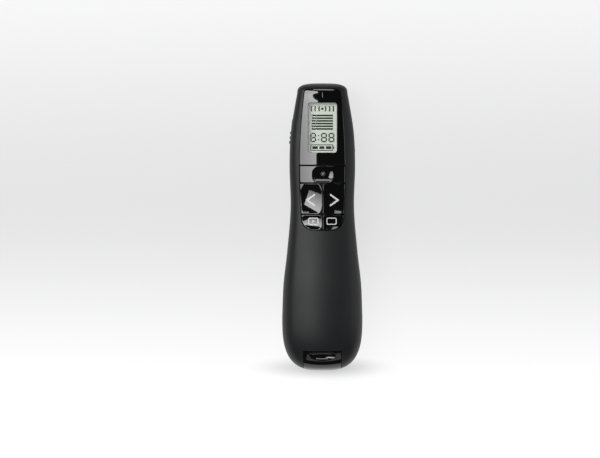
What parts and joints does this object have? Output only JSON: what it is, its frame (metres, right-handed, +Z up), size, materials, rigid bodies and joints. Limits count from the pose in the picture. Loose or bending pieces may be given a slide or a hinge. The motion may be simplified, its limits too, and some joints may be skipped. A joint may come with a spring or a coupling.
{
  "type": "wireless presentation clicker",
  "caption": "Handheld wireless presentation clicker with display window, laser and page keys, power slide and a receiver docked in its tail.",
  "frame": {"origin": "on the resting plane, below the middle of the bounding box", "axes": "+X to the right of the key face, +Y along the body towards the laser end, +Z up, out of the key face; the clicker lies on its back"},
  "size_m": [0.037, 0.1328, 0.0263],
  "materials": {
    "soft_black": "soft-touch coated moulding, fine texture",
    "gloss_black": "high-gloss black moulding",
    "window": "clear acrylic window",
    "lcd": "reflective liquid crystal cell",
    "light_guide": "white backlight plate",
    "board_green": "solder-masked glass-fibre board",
    "chip_black": "moulded chip package",
    "steel": "plated pressed steel",
    "can": "drawn plated can",
    "brass": "turned brass",
    "lens": "moulded collimating lens",
    "red_window": "tinted window",
    "tray": "plain moulding",
    "cell_wrap": "plain shrink sleeve",
    "tungsten": "sintered weight",
    "switch_cream": "moulded switch body",
    "tongue": "white connector insulator",
    "rubber_key": "moulded key"
  },
  "bodies": {
    "clicker": {"top_shell": "soft_black", "bottom_shell": "soft_black", "face_panel": "gloss_black", "display_window": "window", "lcd_glass": "lcd", "lcd_light": "light_guide", "main_board": "board_green", "key_switches": "switch_cream", "radio_chip": "chip_black", "crystal": "can", "vibration_motor": "can", "laser_barrel": "brass", "laser_diode": "can", "laser_lens": "lens", "laser_window": "red_window", "power_switch_frame": "steel", "timer_switches": "switch_cream", "dock_tray": "tray", "battery_springs": "steel", "battery_plates": "steel", "battery_left": "cell_wrap", "battery_right": "cell_wrap", "housing_screws": "steel"},
    "door": {"battery_door": "soft_black"},
    "receiver": {"receiver_shell": "gloss_black", "receiver_plug": "can", "receiver_tongue": "tongue", "receiver_board": "board_green"},
    "motor_weight": {"vibration_weight": "tungsten"},
    "laser_button": {"laser_key": "gloss_black", "laser_plunger": "switch_cream"},
    "back_button": {"back_key": "gloss_black", "back_plunger": "switch_cream"},
    "forward_button": {"forward_key": "gloss_black", "forward_plunger": "switch_cream"},
    "slideshow_button": {"slideshow_key": "gloss_black", "slideshow_plunger": "switch_cream"},
    "blank_button": {"blank_key": "gloss_black", "blank_plunger": "switch_cream"},
    "timer_down_button": {"timer_down_key": "rubber_key", "timer_down_plunger": "switch_cream"},
    "timer_start_button": {"timer_start_key": "rubber_key", "timer_start_plunger": "switch_cream"},
    "timer_up_button": {"timer_up_key": "rubber_key", "timer_up_plunger": "switch_cream"},
    "power_slide_body": {"power_knob": "soft_black", "power_switch_lever": "tray"}
  },
  "joints": [
    {"name": "laser_press", "type": "slide", "parent": "clicker", "child": "laser_button", "axis": [0, -0.0401, -0.9992], "range_m": [0, 0.00035], "stiffness_N_per_m": 1200},
    {"name": "back_press", "type": "slide", "parent": "clicker", "child": "back_button", "axis": [0, -0.0401, -0.9992], "range_m": [0, 0.00035], "stiffness_N_per_m": 1200},
    {"name": "forward_press", "type": "slide", "parent": "clicker", "child": "forward_button", "axis": [0, -0.0401, -0.9992], "range_m": [0, 0.00035], "stiffness_N_per_m": 1200},
    {"name": "slideshow_press", "type": "slide", "parent": "clicker", "child": "slideshow_button", "axis": [0, -0.0401, -0.9992], "range_m": [0, 0.00035], "stiffness_N_per_m": 1200},
    {"name": "blank_press", "type": "slide", "parent": "clicker", "child": "blank_button", "axis": [0, -0.0401, -0.9992], "range_m": [0, 0.00035], "stiffness_N_per_m": 1200},
    {"name": "timer_down_press", "type": "slide", "parent": "clicker", "child": "timer_down_button", "axis": [-0.9952, -0.0975, 0.0039], "range_m": [0, 0.0004], "stiffness_N_per_m": 1200},
    {"name": "timer_start_press", "type": "slide", "parent": "clicker", "child": "timer_start_button", "axis": [-0.9952, -0.0975, 0.0039], "range_m": [0, 0.0004], "stiffness_N_per_m": 1200},
    {"name": "timer_up_press", "type": "slide", "parent": "clicker", "child": "timer_up_button", "axis": [-0.9952, -0.0975, 0.0039], "range_m": [0, 0.0004], "stiffness_N_per_m": 1200},
    {"name": "power_slide", "type": "slide", "parent": "clicker", "child": "power_slide_body", "axis": [-0.0976, -0.9944, 0.0399], "range_m": [0, 0.003]},
    {"name": "receiver_slide", "type": "slide", "parent": "clicker", "child": "receiver", "axis": [0, -0.9992, 0.0401], "range_m": [0, 0.05]},
    {"name": "door_slide", "type": "slide", "parent": "clicker", "child": "door", "axis": [0, -0.9992, 0.0401], "range_m": [0, 0.065]},
    {"name": "motor_spin", "type": "hinge", "parent": "clicker", "child": "motor_weight", "pos_m": [0.0046, 0.04263, 0.01097], "axis": [0, 0.9992, -0.0401], "continuous": true}
  ]
}
